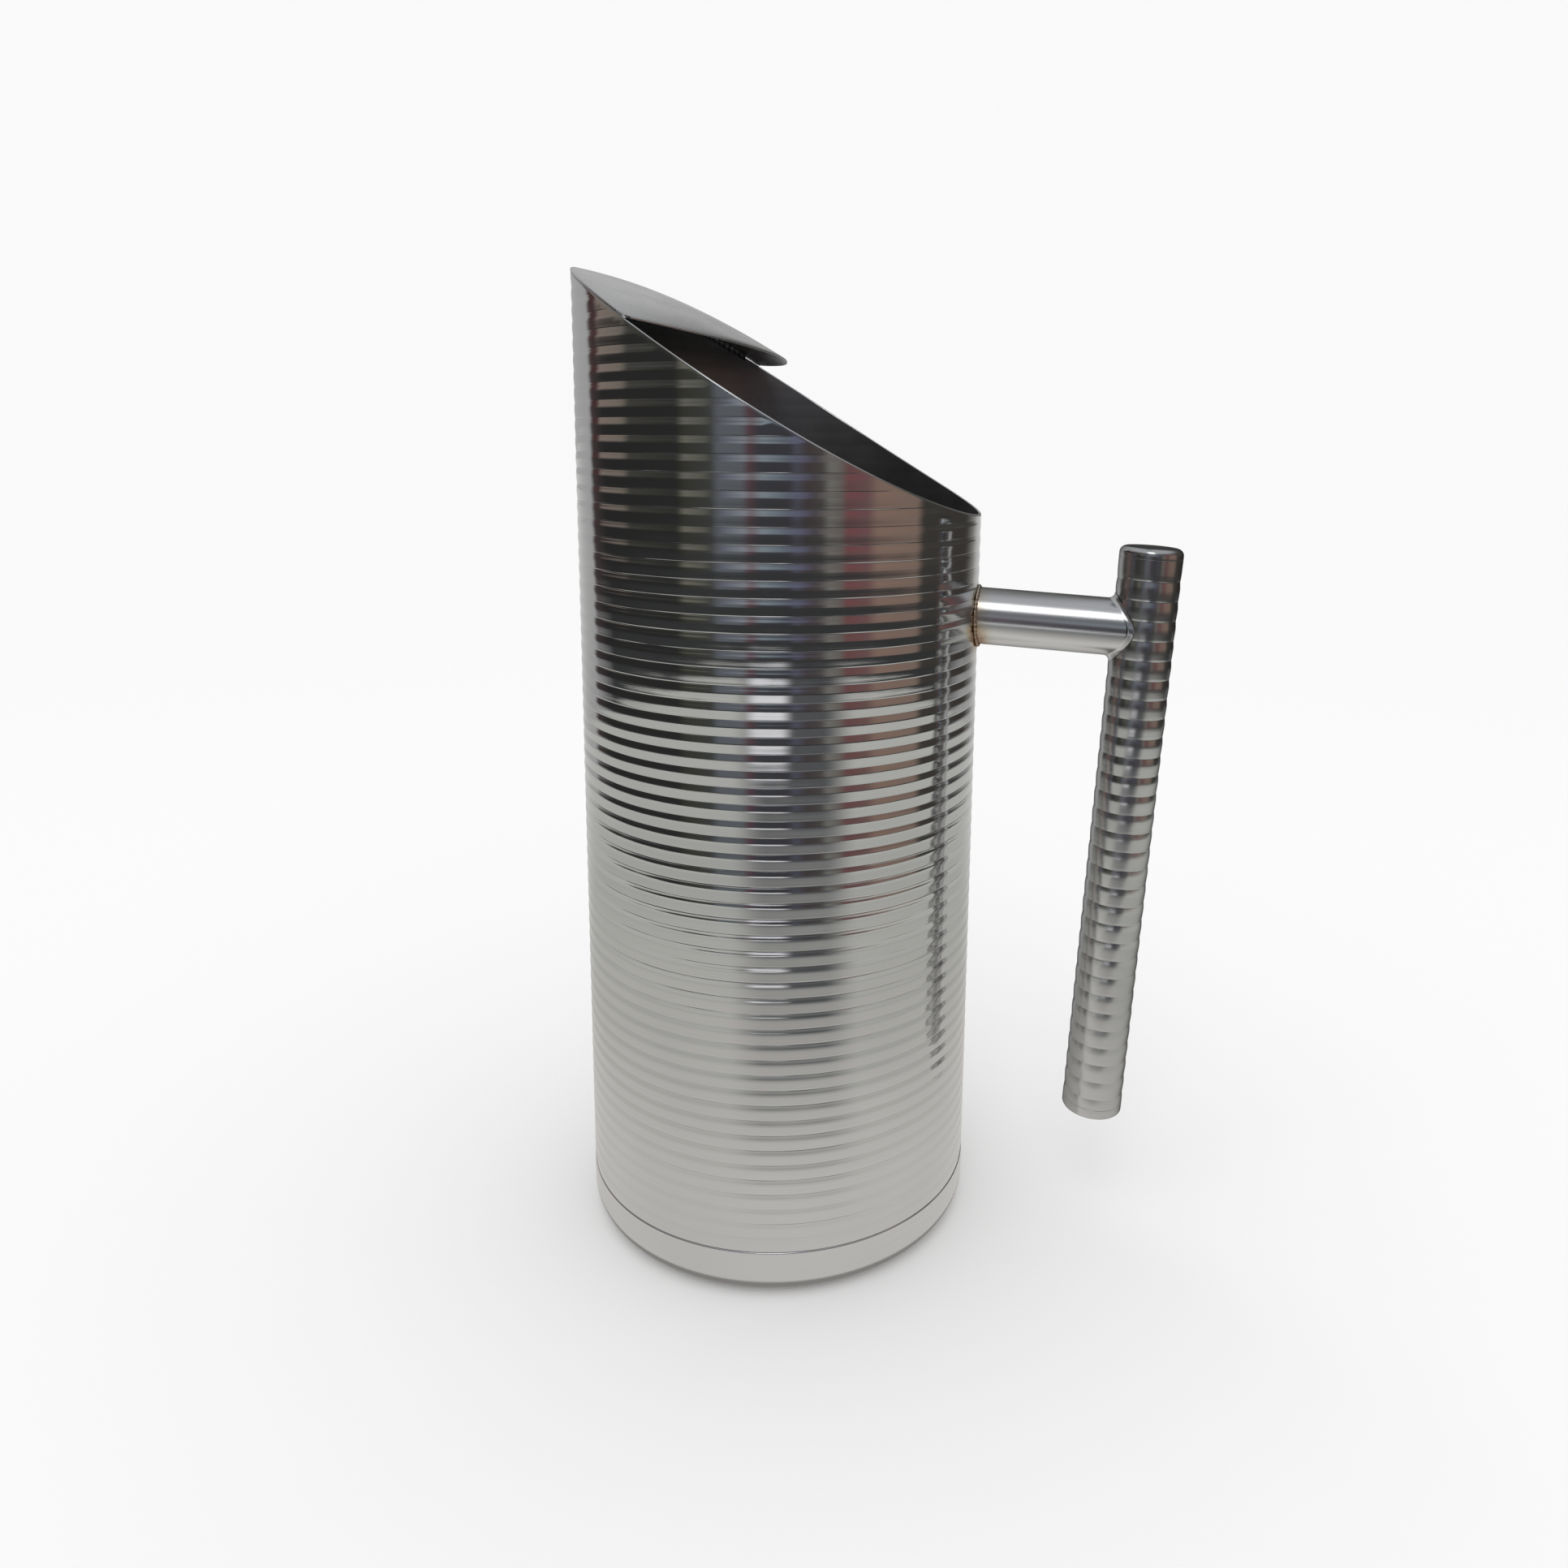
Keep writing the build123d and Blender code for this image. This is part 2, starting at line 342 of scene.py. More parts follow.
# ---- ribbed body ---------------------------------------------------------------------------
COLS = 128
RIBS = 62
DIP, DIP_HALF = 0.032 * MM, 0.30 * MM           # depth and half width of the fine line in a groove
WALL_ROOM = 0.045 * MM                          # the wall's crests stay this far inside the CAD's radius
LIP = SHEET / 2
LIP_DROP = 1.02 * LIP                           # from the rim's height down to the middle of the lip
MERGE = 0.15 * MM                               # a row that comes this near to the lip joins it
WOBBLES = 64

turn = ring(COLS)
cos_t, sin_t = np.cos(turn), np.sin(turn)
wall_top = rim_height(BODY_R * cos_t) - LIP_DROP
lining_top = rim_height(INNER_R * cos_t) - LIP_DROP
groove_wobble = [chance.uniform(0, 6.3, 4) for _ in range(WOBBLES)]
waves = [(chance.integers(3, 17), chance.uniform(-160, 160), chance.uniform(0, 6.3)) for _ in range(9)]


def rib_shape(z, depth, swell):
    """Offset of the wall at a height, and its slope: ribs with a fine line in each groove."""
    offset, slope = swelling(z - BAND_H, RIB_PITCH, BODY_FLANK * swell)
    place = ((z - BAND_H) / RIB_PITCH + 0.5) % 1.0 - 0.5
    angle = math.pi * np.clip(np.abs(place) * RIB_PITCH / DIP_HALF, 0, 1)
    offset = offset - DIP * depth * 0.5 * (1 + np.cos(angle))
    slope = slope + DIP * depth * 0.5 * math.pi / DIP_HALF * np.sin(angle) * np.sign(place)
    return offset, slope


def unevenness(z):
    """Faint long waves in the rolled wall."""
    return 0.010 * MM * sum(np.sin(k * turn + w * z + p) for k, w, p in waves) / 3


def wall_row(z, inset, outward):
    """Points and normals of one ring of the wall at heights z, one height per column."""
    w = groove_wobble[int(round((float(np.median(z)) - BAND_H) / RIB_PITCH)) % WOBBLES]
    depth = 1 + 0.16 * (np.sin(3 * turn + w[0]) + np.sin(19 * turn + w[2])) + 0.14 * np.sin(7 * turn + w[1])
    depth = np.clip(depth + 0.25 * math.sin(5 * w[3]), 0.35, 1.5)
    swell = np.clip(1 + 0.05 * np.sin(11 * turn + w[1]) + 0.06 * np.sin(26 * turn + w[3]), 0.8, 1.0)
    level_out = np.clip((wall_top - z) / (1.5 * MM), 0, 1)
    offset, slope = rib_shape(z, depth * level_out, swell * level_out)
    if outward < 0:
        offset, slope = 0.25 * offset, 0.25 * slope
    fade = np.clip((z - BAND_H) / (0.3 * MM), 0, 1)
    offset = offset * fade - (1 - fade) ** 2 * JOINT_BEVEL
    radius = BODY_R - WALL_ROOM - inset + offset + unevenness(z)
    points = np.stack([radius * cos_t, radius * sin_t, z], -1)
    return points, unit(np.stack([cos_t, sin_t, -slope * fade], -1) * outward)


def lip_row(edge_r, a):
    """Points and normals of one ring of the rounded lip, at angle a from the wall's outside."""
    r = edge_r - LIP + LIP * math.cos(a)
    z = rim_height(r * cos_t) - LIP_DROP + LIP * math.sin(a)
    tilt = (rim_height(r * cos_t + SKIN) - rim_height(r * cos_t)) / SKIN
    out, up = math.cos(a), math.sin(a)
    normals = np.stack([cos_t * out - tilt * up, sin_t * out, np.full(COLS, up)], -1)
    return np.stack([r * cos_t, r * sin_t, z], -1), unit(normals)


near_groove = np.array([0.15, 0.31]) * MM
rib_marks = np.concatenate([near_groove, RIB_PITCH * np.array([0.25, 0.5, 0.75]),
                            RIB_PITCH - near_groove[::-1], [RIB_PITCH]])
rib_starts = BAND_H + RIB_PITCH * np.arange(RIBS)
outer_z = np.concatenate([[BAND_H, BAND_H + 0.12 * MM], *[start + rib_marks for start in rib_starts]])
lining_marks = RIB_PITCH * np.array([1, 2, 3]) / 3
inner_z = np.concatenate([[BAND_H], *[start + lining_marks for start in rib_starts]])[::-1]

outer_rows = [wall_row(np.minimum(z, wall_top), 0.0, 1) for z in outer_z]
top_edge, _ = wall_row(wall_top, 0.0, 1)
top_r = np.hypot(top_edge[:, 0], top_edge[:, 1])
lip_rows = [lip_row(top_r, a) for a in np.radians(np.linspace(0, 180, 13))]
inner_rows = [wall_row(np.minimum(z, lining_top), SHEET, -1) for z in inner_z]
body_rows = outer_rows + lip_rows + inner_rows

# The rows that the slant cuts away collapse onto the lip's first or last row.
lip_first, lip_last = len(outer_rows), len(outer_rows) + len(lip_rows) - 1
number = np.arange(len(body_rows) * COLS).reshape(-1, COLS)
cut_outside = outer_z[:, None] > wall_top - MERGE
cut_inside = inner_z[:, None] > lining_top - MERGE
number[:lip_first] = np.where(cut_outside, number[lip_first], number[:lip_first])
number[lip_last + 1:] = np.where(cut_inside, number[lip_last], number[lip_last + 1:])
body_faces = number.reshape(-1)[quads(len(body_rows), COLS, close_rows=True)]
is_lining = np.repeat(np.arange(len(body_rows)) >= lip_last, COLS)
add_piece("ribbed_body", [points for points, _ in body_rows], body_faces, "body_shell", "ribbed_steel",
          ribbed, shaded_lining, normals=[normals for _, normals in body_rows], shades=is_lining)

# ---- base cup and the weld inside its seam -------------------------------------------------
cup_r, bevel_z = BODY_R - SKIN, BAND_H - TUCK - JOINT_BEVEL
inside_corner = CORNER_R - SHEET
cup_outside = np.concatenate([
    [(0, 0), (0.02, 0), (0.04, 0), (BODY_R - CORNER_R - 0.3 * MM, 0)],
    corner(cup_r - CORNER_R, CORNER_R, CORNER_R, -90, 0, 17),
    [(cup_r, CORNER_R + 0.3 * MM), (cup_r, 10 * MM), (cup_r, bevel_z - 0.05 * MM)],
    corner(cup_r - JOINT_BEVEL, bevel_z, JOINT_BEVEL, 8, 82, 6),
    [(BODY_R - JOINT_BEVEL - 0.10 * MM, BAND_H - TUCK), (INNER_R + 0.05 * MM, BAND_H - TUCK)],
])
cup_inside = np.concatenate([
    [(INNER_R, BAND_H - 0.1 * MM), (INNER_R, 9 * MM)],
    corner(INNER_R - inside_corner, CORNER_R, inside_corner, 0, -90, 10),
    [(0.03, SHEET), (0.01, SHEET), (0, SHEET)],
])
cup_section = np.concatenate([cup_outside, cup_inside])
cup_points, cup_normals = turned(cup_section, COLS)
is_inside = np.repeat(np.arange(len(cup_section) - 1) >= len(cup_outside), COLS)
add_piece("base_cup_spun", cup_points, spun_faces(len(cup_section), COLS), "base_cup", "base_steel",
          cup, shaded_lining, normals=cup_normals, shades=is_inside)

SEAM_COLS = 360
SEAM_W, SEAM_H = 0.75 * MM, 1.25 * MM
fine = ring(SEAM_COLS)
lumps = 1 + 0.07 * np.sin(150 * fine) + 0.05 * np.sin(41 * fine)
seam_rows = []
for a in np.radians(np.linspace(-90, 90, 9)):
    r = INNER_R + 0.1 * MM - SEAM_W * math.cos(a) * lumps
    z = np.full(SEAM_COLS, BAND_H + SEAM_H * math.sin(a))
    seam_rows.append(np.stack([r * np.cos(fine), r * np.sin(fine), z], -1))
add_piece("base_seam_bead", seam_rows, quads(len(seam_rows), SEAM_COLS, close_rows=True),
          "base_seam_weld", "weld_metal", bead)

# ---- ice guard and the bead under it -------------------------------------------------------
ACROSS = 97
EDGE = 0.28 * MM                                # how far the plate's edges are rounded in
near = np.array([GUARD_NEAR_X, -math.sqrt(BODY_R**2 - GUARD_NEAR_X**2)])
far = np.array([GUARD_FAR_X, math.sqrt(BODY_R**2 - GUARD_FAR_X**2)])
middle = np.array([GUARD_EDGE_X, 0.0])

# The free edge is an arc through near, middle and far, whose centre is as far from each of them.
chords = np.array([2 * (middle - near), 2 * (far - near)])
arc_centre = np.linalg.solve(chords, [middle @ middle - near @ near, far @ far - near @ near])
arc_r = np.linalg.norm(middle - arc_centre)
guard_y = np.linspace(near[1] + 0.45 * MM, far[1] - 0.45 * MM, ACROSS)
free_edge = arc_centre[0] + np.sqrt(arc_r**2 - (guard_y - arc_centre[1]) ** 2)
spout_edge = -np.sqrt(BODY_R**2 - guard_y**2)
round_in = np.minimum(EDGE, 0.4 * (free_edge - spout_edge))


def plate_row(x, level):
    """One line of points across the plate, at a level from 0 on its underside to 1 on its top."""
    x = np.clip(x, spout_edge + TUCK, free_edge)
    base = guard_height(x, guard_y)
    slope_x = (guard_height(x + SKIN, guard_y) - base) / SKIN
    slope_y = (guard_height(x, guard_y + SKIN) - base) / SKIN
    thick = (GUARD_SHEET - SKIN) * np.sqrt(1 + slope_x**2 + slope_y**2)
    return np.stack([x, guard_y, base + level * thick], -1)


def plate_inside(f, level):
    """A line across one of the plate's faces, at a fraction of the way from the spout to the free edge."""
    return plate_row(spout_edge + round_in + (free_edge - spout_edge - 2 * round_in) * f, level)


face_places = np.linspace(0, 1, 25)
plate_rows = [plate_inside(f, 1.0) for f in face_places]
for a in np.radians([67, 45, 22, 0, -22, -45, -67]):
    plate_rows.append(plate_row(free_edge - round_in + round_in * math.cos(a), (1 + math.sin(a)) / 2))
plate_rows += [plate_inside(f, 0.0) for f in face_places[::-1]]
for a in np.radians([-60, -30, 0, 30, 60]):
    plate_rows.append(plate_row(spout_edge + round_in - round_in * math.cos(a), (1 + math.sin(a)) / 2))
add_piece("ice_guard_plate", plate_rows, bar_faces(len(plate_rows), ACROSS, flip=True),
          "ice_guard", "guard_steel", plate)

FILLET = 1.25 * MM
WELD_STEPS = 420
near_turn = math.atan2(near[1], GUARD_NEAR_X - GUARD_WELD_BACK)
far_turn = math.atan2(far[1], GUARD_FAR_X - GUARD_WELD_BACK) - 2 * math.pi
weld_turn = np.linspace(near_turn, far_turn, WELD_STEPS)
knobs = 1 + 0.08 * np.sin(210 * weld_turn) + 0.06 * np.sin(57 * weld_turn)


def under_guard(r, drop):
    """A line of points along the weld at radius r, below the guard by drop."""
    x, y = r * np.cos(weld_turn), r * np.sin(weld_turn)
    return np.stack([x, y, guard_height(x, y) - drop], -1)


weld_rows = [under_guard(INNER_R - FILLET * math.sin(a) * knobs + TUCK, FILLET * math.cos(a) * knobs + TUCK)
             for a in np.radians(np.linspace(0, 90, 8))]
weld_rows.append(under_guard(INNER_R + TUCK, TUCK))
add_piece("guard_bead", weld_rows, bar_faces(len(weld_rows), WELD_STEPS), "guard_weld", "weld_metal", bead)

# ---- handle arm, with its ends coped to the body and the grip ------------------------------
AROUND = 128
arm_turn = ring(AROUND)
arm_up = np.cross(side, arm_dir)
arm_in = ARM_R - ARM_WALL


def across_arm(angles):
    """Directions square to the arm, at angles from its side."""
    return np.cos(angles)[:, None] * side + np.sin(angles)[:, None] * arm_up


def to_wall(start, wall):
    """How far along the arm from each start point a cylinder about the Z axis is met."""
    return (np.sqrt(wall**2 - start[:, 1] ** 2) - start[:, 0]) / arm_dir[0]


def to_grip_wall(radius, wall):
    """How far along the arm a line on its radius meets a cylinder about the grip's axis."""
    return ARM_REACH - np.sqrt(wall**2 - (radius * np.cos(arm_turn)) ** 2)


def on_arm(radius, along):
    return arm_foot + radius * arm_out + np.asarray(along)[:, None] * arm_dir


arm_out = across_arm(arm_turn)
arm_rows, arm_normals = [], []
for radius, outward, fractions in ((ARM_R, 1, np.linspace(0, 1, 33)), (arm_in, -1, np.linspace(1, 0, 9))):
    begin, end = to_wall(arm_foot + radius * arm_out, BODY_R), to_grip_wall(radius, GRIP_R + ROOT_GAP)
    arm_rows += [on_arm(radius, begin + (end - begin) * f) for f in fractions]
    arm_normals += [outward * arm_out for _ in fractions]
add_piece("arm_tube", arm_rows, quads(len(arm_rows), AROUND, close_rows=True)[:, ::-1],
          "handle_arm", "arm_steel", bright, normals=arm_normals)

FOOT_COLS = 240
FOOT_LEG = 0.70 * MM
FOOT_ROOT = 0.05 * MM                           # how deep the bead's hidden corner lies
foot_turn = ring(FOOT_COLS)
foot_out = across_arm(foot_turn)
beads = 1 + 0.13 * np.sin(38 * foot_turn) + 0.10 * np.sin(11 * foot_turn + 1.0) + 0.08 * np.sin(5 * foot_turn)
foot_rows = []
for a in np.radians(np.linspace(0, 90, 8)):
    start = arm_foot + (ARM_R + FOOT_LEG * math.cos(a) ** 0.8 * beads)[:, None] * foot_out
    along = to_wall(start, BODY_R) + FOOT_LEG * math.sin(a) ** 0.8 * beads
    foot_rows.append(start + along[:, None] * arm_dir)
start = arm_foot + (ARM_R - FOOT_ROOT) * foot_out
foot_rows.append(start + to_wall(start, BODY_R - FOOT_ROOT)[:, None] * arm_dir)
add_piece("arm_foot_bead", foot_rows, quads(len(foot_rows), FOOT_COLS, close_rows=True)[:, ::-1],
          "arm_body_weld", "tinted_weld", tinted)

# The fillet at the grip follows a ball that rolls in the corner between the two tubes.
BALL_R = 1.5 * MM
ROOT_R = ARM_R - 0.6 * MM
ball_y = (ARM_R + BALL_R) * np.cos(arm_turn)
ball_s = to_grip_wall(ARM_R + BALL_R, GRIP_R + BALL_R)
ball_at = on_arm(ARM_R + BALL_R, ball_s)
to_arm = -arm_out
to_grip = -((ball_s - ARM_REACH)[:, None] * arm_dir + ball_y[:, None] * side) / (GRIP_R + BALL_R)
angle = np.arccos(np.clip((to_arm * to_grip).sum(1), -1, 1))[:, None]
head_rows, head_normals = [], []
for f in np.linspace(0, 1, 12):
    toward = (np.sin((1 - f) * angle) * to_arm + np.sin(f * angle) * to_grip) / np.sin(angle)
    head_rows.append(ball_at + BALL_R * toward)
    head_normals.append(-toward)
head_rows.append(on_arm(ROOT_R, to_grip_wall(ROOT_R, GRIP_R + TUCK)))
head_normals.append(arm_dir * np.ones((AROUND, 3)))
head_rows.append(on_arm(ROOT_R, to_grip_wall(ROOT_R, GRIP_R + ROOT_GAP)))
head_normals.append(-arm_out)
add_piece("arm_head_bead", head_rows, quads(len(head_rows), AROUND, close_rows=True)[:, ::-1],
          "arm_grip_weld", "weld_metal", bright, normals=head_normals)

# ---- ribbed grip and its caps --------------------------------------------------------------
GRIP_COLS = 96
GRIP_DIP, GRIP_DIP_HALF = 0.05 * MM, 0.5 * MM   # depth and half width of the line in a groove
DOME = 0.10 * MM
grip_skin = GRIP_R - SKIN
grip_low, grip_high = CAP_H - GRIP_BELOW, GRIP_ABOVE - CAP_H
grooves = GRIP_FIRST - GRIP_PITCH * np.arange(GRIP_GROOVES)[::-1]
marks = np.array([0.15, 0.3, 0.6, 0.9, 1.4, 2.1]) * MM
marks = np.concatenate([-marks[::-1], [0], marks])
grip_h = np.unique(np.concatenate([[grip_low, grip_high], *[g + marks for g in grooves]]))
grip_h = grip_h[(grip_h >= grip_low) & (grip_h <= grip_high)]
from_groove = np.abs(grip_h[:, None] - grooves[None, :]).min(1)
dip = 0.5 * GRIP_DIP * (1 + np.cos(math.pi * np.minimum(from_groove / GRIP_DIP_HALF, 1)))
swell, _ = swelling(grip_h - GRIP_FIRST, GRIP_PITCH, GRIP_FLANK)
crest_above = GRIP_PITCH * GROOVE / math.pi     # from a groove up to the next crest
is_ribbed = (grip_h < GRIP_FIRST + crest_above) & (grip_h > grooves[0] + crest_above - GRIP_PITCH)
grip_outer = np.stack([grip_skin - dip + np.where(is_ribbed, swell, 0), grip_h], -1)
grip_inner = np.stack([np.full(9, GRIP_R - GRIP_WALL), np.linspace(grip_high, grip_low, 9)], -1)
outer_p, outer_n = turned(grip_outer, GRIP_COLS, crossing, grip_dir, arm_dir)
inner_p, inner_n = turned(grip_inner, GRIP_COLS, crossing, grip_dir, arm_dir)
grip_rows = np.concatenate([outer_p, inner_p])
add_piece("ribbed_grip", grip_rows, quads(len(grip_rows), GRIP_COLS, close_rows=True), "handle_grip",
          "grip_steel", grip_metal, normals=np.concatenate([outer_n, inner_n]))


def cap(name, node, end, inward, edge):
    """A disc with a rounded outer edge and a slightly domed face, from end inwards along the grip."""
    face_r = grip_skin - edge
    dome = [(face_r * f, -DOME * f**2) for f in (0, 0.25, 0.5, 0.75, 0.97)]
    round_edge = corner(face_r, -edge - DOME, edge, 90, 0, 10)
    skirt = [(grip_skin, -edge - 0.3 * MM), (grip_skin, -CAP_H + 0.12 * MM)]
    back = [(grip_skin - 0.09 * MM, -CAP_H + 0.03 * MM), (grip_skin - 0.49 * MM, -CAP_H)]
    section = np.concatenate([dome, round_edge, skirt, back, [(0.2 * MM, -CAP_H), (0, -CAP_H)]])[::-1]
    points, normals = turned(section, GRIP_COLS, crossing + end * grip_dir, grip_dir * inward, arm_dir)
    faces = spun_faces(len(section), GRIP_COLS)
    add_piece(name, points, faces, node, "grip_steel", grip_metal, normals=normals)


cap("grip_cap_top", "grip_top_cap", GRIP_ABOVE, 1, 1.8 * MM)
cap("grip_cap_bottom", "grip_bottom_cap", -GRIP_BELOW, -1, 0.8 * MM)

# ---- camera --------------------------------------------------------------------------------
scene = bpy.context.scene
scene.view_settings.view_transform = "Standard"

view_azimuth = math.radians(-76.9)
camera = bpy.data.objects.new("camera", bpy.data.cameras.new("camera"))
camera.matrix_world = (
    Matrix.Translation((0.0724, -0.3106, 0.2157))
    @ Matrix.Rotation(math.radians(9.88), 4, "Z") @ Matrix.Rotation(math.radians(79.71), 4, "X")
    @ Matrix.Rotation(math.radians(0.686), 4, "Z")
)
camera.data.sensor_width = 36
camera.data.lens = 26.79
camera.data.shift_x, camera.data.shift_y = -0.0395, -0.0817
camera.data.clip_start = 0.01
scene.collection.objects.link(camera)
scene.camera = camera

# ---- room that the metal mirrors -----------------------------------------------------------
# White to the camera, and even light on the floor. For mirrored rays it is a dim room, with soft
# coloured curtains in front of the object, a pale wall behind it and a pale ceiling. Bearings are
# in degrees from the camera's direction, and positive to its right.
world = bpy.data.worlds.new("studio")
world.use_nodes = True
world.cycles.sampling_method = "NONE"
scene.world = world
w = Nodes(world.node_tree)
toward = w.new("ShaderNodeTexCoord").outputs["Generated"]
forward, rightward, height = w.split(w.turn(toward, -view_azimuth))
compass = w.math("MULTIPLY_ADD", w.math("ARCTAN2", rightward, forward), 0.5 / math.pi, 0.5)


def on_compass(bearing):
    return bearing / 360 + 0.5


def curtains(*stops):
    """Colours round the room, by bearing from -180 to 180."""
    return w.ramp(compass, [(on_compass(bearing), colour) for bearing, colour in stops])


room_low = curtains(
    (-180, (0.66, 0.66, 0.66)), (-160, (0.42, 0.42, 0.42)), (-129, (0.40, 0.40, 0.40)),
    (-125, (0.06, 0.045, 0.045)), (-112, (0.026, 0.025, 0.025)), (-58, (0.026, 0.027, 0.026)),
    (-53, (0.045, 0.045, 0.035)), (-38, (0.055, 0.058, 0.055)), (-34, (0.12, 0.13, 0.145)),
    (-21, (0.12, 0.13, 0.145)), (-17, (0.10, 0.055, 0.065)), (-12, (0.05, 0.052, 0.06)),
    (4, (0.05, 0.048, 0.055)), (8, (0.085, 0.085, 0.115)), (14, (0.065, 0.052, 0.052)),
    (22, (0.075, 0.068, 0.065)), (26, (0.19, 0.185, 0.17)), (32, (0.16, 0.145, 0.13)),
    (36, (0.155, 0.075, 0.075)), (48, (0.165, 0.10, 0.095)), (54, (0.245, 0.165, 0.135)),
    (80, (0.225, 0.165, 0.135)), (85, (0.052, 0.048, 0.043)), (130, (0.048, 0.043, 0.040)),
    (142, (0.12, 0.11, 0.10)), (150, (0.36, 0.36, 0.35)), (180, (0.66, 0.66, 0.66)))
room_high = curtains(
    (-180, (0.56, 0.56, 0.56)), (-160, (0.42, 0.42, 0.42)), (-129, (0.40, 0.40, 0.40)),
    (-125, (0.07, 0.035, 0.035)), (-119, (0.07, 0.035, 0.035)), (-116, (0.24, 0.19, 0.17)),
    (-96, (0.19, 0.165, 0.14)), (-90, (0.06, 0.058, 0.05)), (-58, (0.036, 0.036, 0.033)),
    (-53, (0.17, 0.165, 0.135)), (-42, (0.12, 0.12, 0.10)), (-38, (0.07, 0.07, 0.065)),
    (-31, (0.15, 0.16, 0.20)), (-20, (0.26, 0.28, 0.31)), (-16, (0.20, 0.15, 0.17)),
    (-10, (0.24, 0.29, 0.32)), (3, (0.14, 0.16, 0.20)), (10, (0.13, 0.13, 0.20)),
    (18, (0.08, 0.07, 0.08)), (26, (0.17, 0.16, 0.15)), (33, (0.15, 0.13, 0.12)),
    (36, (0.20, 0.075, 0.08)), (48, (0.18, 0.09, 0.095)), (54, (0.265, 0.175, 0.14)),
    (80, (0.235, 0.165, 0.13)), (86, (0.055, 0.05, 0.045)), (148, (0.10, 0.10, 0.095)),
    (180, (0.56, 0.56, 0.56)))
room = w.mix(w.span(height, -0.02, 0.10, smooth=True), room_low, room_high)
dim_front = w.mix(w.span(forward, -0.5, 0.1, 0.0, 0.62), room, (0.09, 0.09, 0.095))
room = w.mix(w.span(height, 0.16, 0.30, smooth=True), room, dim_front)
below = w.mix(w.span(forward, -0.6, -0.3), (0.36, 0.36, 0.36), (0.040, 0.041, 0.042))
room = w.mix(w.span(height, -0.25, -0.17, 1.0, 0.0), room, below)
room = w.mix(w.span(height, 0.50, 0.80, smooth=True), room, (0.42, 0.43, 0.45))
post = w.span(w.about(compass, on_compass(164.5)), 0.016, 0.024, 0.75, 0.0, smooth=True)
room = w.mix(post, room, (0.10, 0.105, 0.095))
mirrored = w.new("ShaderNodeLightPath").outputs["Is Glossy Ray"]
background = w.new("ShaderNodeBackground", Color=w.mix(mirrored, (0.95, 0.95, 0.95), room), Strength=1.0)
w.new("ShaderNodeOutputWorld", Surface=background.outputs[0])


# ---- floor, table and lamp -----------------------------------------------------------------
def stage_plane(name, material, half, z, seen_by):
    """A level square of the studio, which only the named kinds of ray meet."""
    corners = [(-half, -half, z), (half, -half, z), (half, half, z), (-half, half, z)]
    mesh = bpy.data.meshes.new(name)
    mesh.from_pydata(corners, [], [(0, 1, 2, 3)])
    mesh.materials.append(material)
    plane = bpy.data.objects.new(name, mesh)
    scene.collection.objects.link(plane)
    for kind in ("camera", "diffuse", "glossy", "shadow"):
        setattr(plane, "visible_" + kind, kind in seen_by)


white, n = new_material("floor_white")
n.surface(n.new("ShaderNodeBsdfDiffuse", Color=(1, 1, 1, 1)).outputs[0])
stage_plane("floor", white, half=30, z=0, seen_by=("camera", "diffuse"))

# The table that the metal mirrors: a glowing plane whose light and shade are painted in. It is warm grey and
# paler close by, with a painted contact shadow dark against the base, a painted shadow stretching before the
# camera and a painted patch of glare in it. It ends half a metre out, except behind the object, where it runs
# on as a pale backdrop.
table_top, n = new_material("table_grey")
on_table = n.turn(n.new("ShaderNodeTexCoord").outputs["Object"], -view_azimuth)
away = n.vector("LENGTH", on_table)
forward, rightward, _ = n.split(on_table)
bearing = n.math("ARCTAN2", rightward, forward)
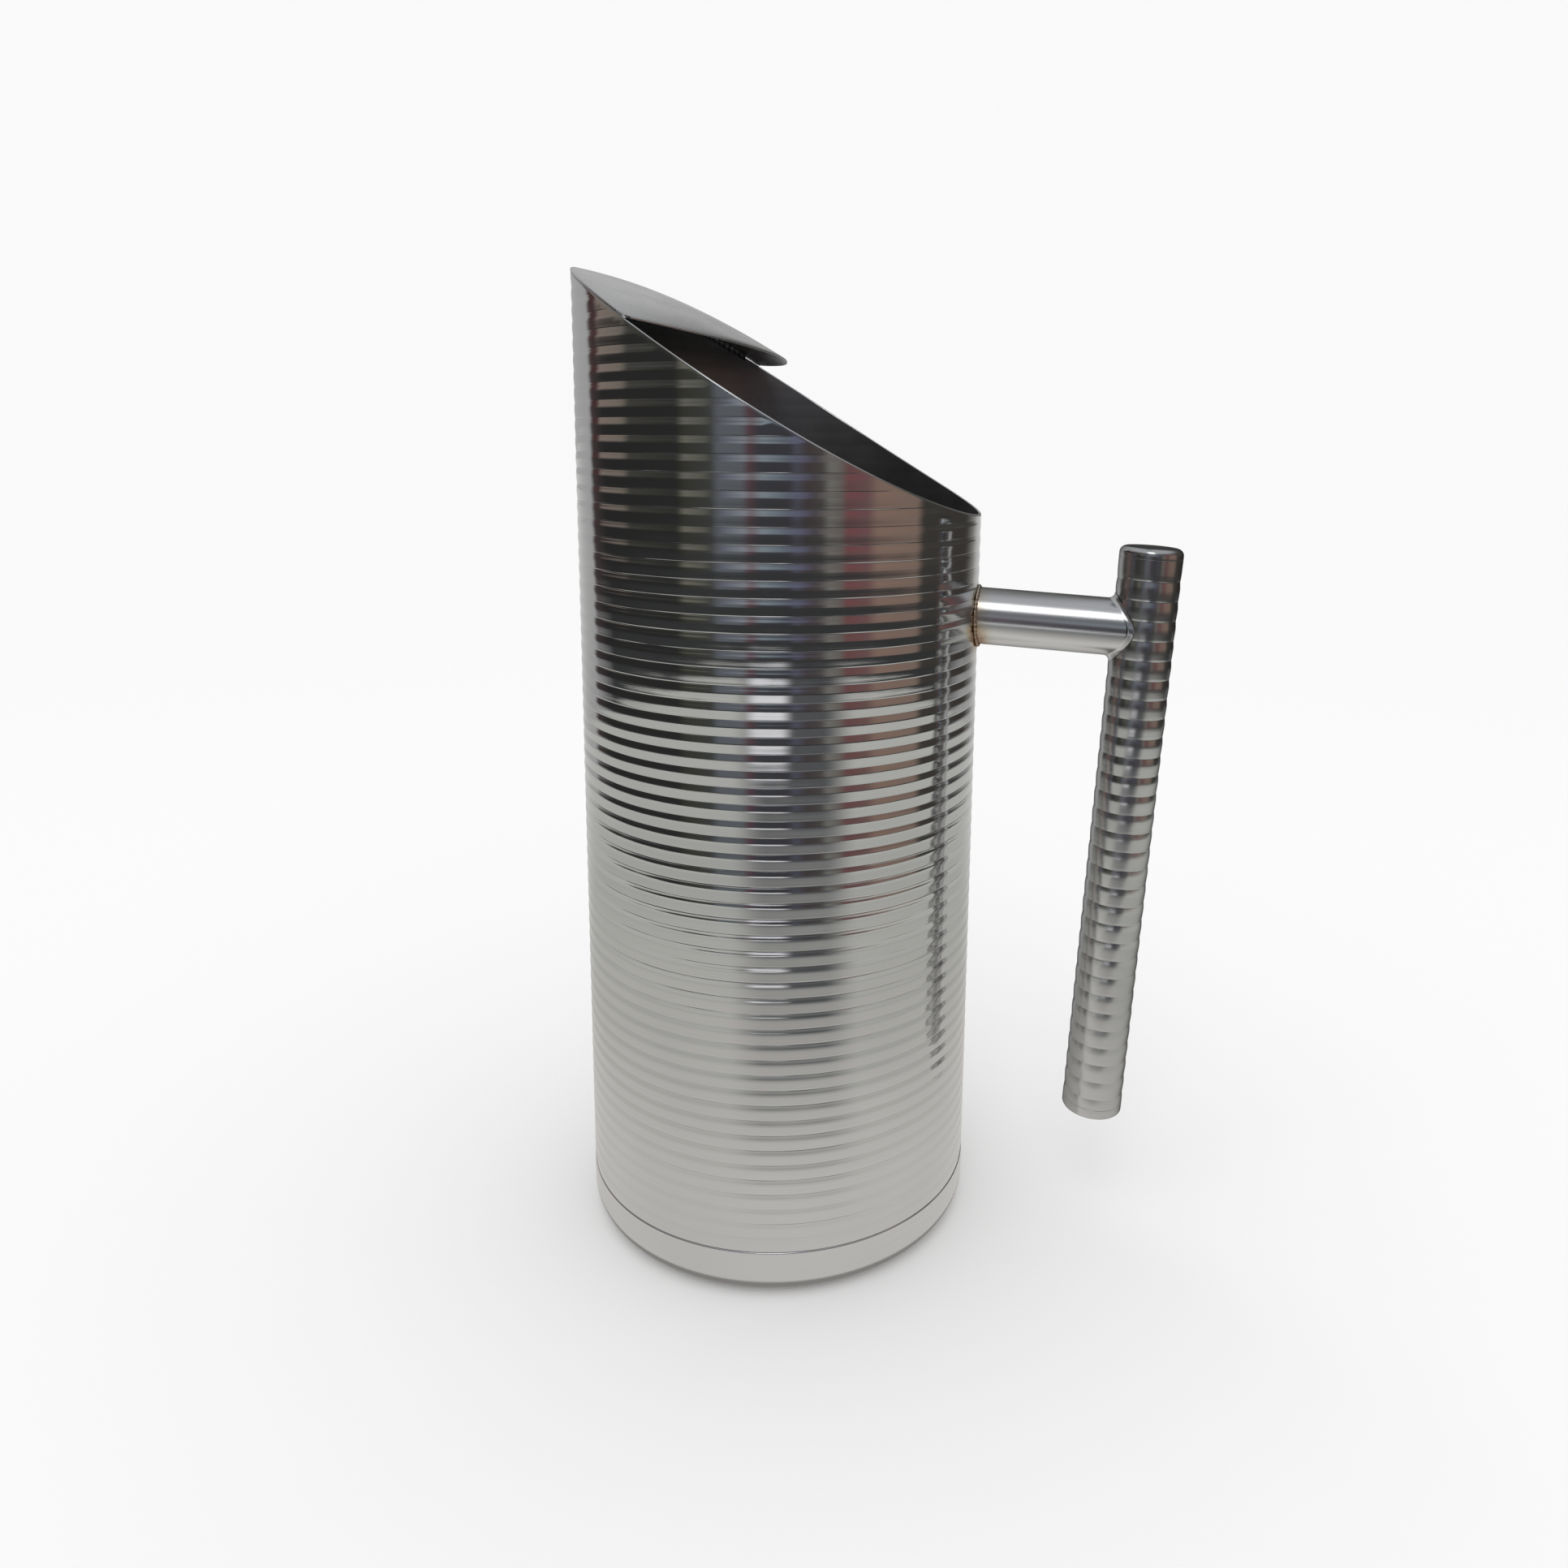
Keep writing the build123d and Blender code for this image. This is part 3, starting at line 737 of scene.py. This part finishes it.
# Painted light on the table: paler close by, darker about a quarter metre out, a little paler again beyond.
tone = n.mix(n.span(away, 0.08, 0.15), (0.60, 0.585, 0.56), (0.55, 0.535, 0.505))
tone = n.mix(n.span(away, 0.12, 0.26), tone, (0.44, 0.445, 0.42))
tone = n.mix(n.span(away, 0.26, 0.36), tone, (0.50, 0.505, 0.475))
# Painted shadow that stretches out before the camera.
shade_across = n.span(n.about(bearing, 0.13), 0.25, 0.60, 1, 0, smooth=True)
shade_along = n.span(away, 0.09, 0.36, 0.0, 0.92)
tone = n.mix(n.math("MULTIPLY", shade_across, shade_along), tone, (0.06, 0.062, 0.07))
behind = n.span(n.math("ABSOLUTE", bearing), 2.15, 2.9, smooth=True)
tone = n.mix(behind, tone, (0.60, 0.60, 0.60))
# Painted contact shadow: the table is dark right against the base.
contact_shadow = n.span(away, BODY_R + 0.3 * MM, BODY_R + 2 * MM, 1.0, 0.0)
tone = n.mix(contact_shadow, tone, (0.26, 0.25, 0.24))
# Painted patch of glare: a pool of light on the table, half a metre out and a little left of the camera.
glare_across = n.span(n.about(bearing, -0.115), 0.10, 0.24, 1, 0, smooth=True)
glare_along = n.span(n.about(away, 0.50), 0.06, 0.16, 1, 0, smooth=True)
tone = n.mix(n.math("MULTIPLY", glare_across, glare_along), tone, (0.82, 0.82, 0.85))
past_edge = n.math("MULTIPLY", n.span(away, 0.52, 0.56, smooth=True), n.math("SUBTRACT", 1.0, behind))
glow = n.new("ShaderNodeEmission", Color=tone).outputs[0]
clear = n.new("ShaderNodeBsdfTransparent").outputs[0]
n.surface(n.new("ShaderNodeMixShader", _0=past_edge, _1=glow, _2=clear).outputs[0])
stage_plane("table", table_top, half=8, z=-0.5 * MM, seen_by=("glossy",))

lamp = bpy.data.objects.new("lamp", bpy.data.lights.new("lamp", "AREA"))
lamp.data.shape = "RECTANGLE"
lamp.data.size, lamp.data.size_y = 0.28, 0.40
lamp.data.energy = 0.6
lamp_azimuth, lamp_out = view_azimuth - math.radians(6), 0.58
lamp.location = (lamp_out * math.cos(lamp_azimuth), lamp_out * math.sin(lamp_azimuth), 0.82)
lamp.rotation_euler = (Vector((0, 0, 0.12)) - lamp.location).to_track_quat("-Z", "Y").to_euler()
lamp.visible_camera = False
scene.collection.objects.link(lamp)
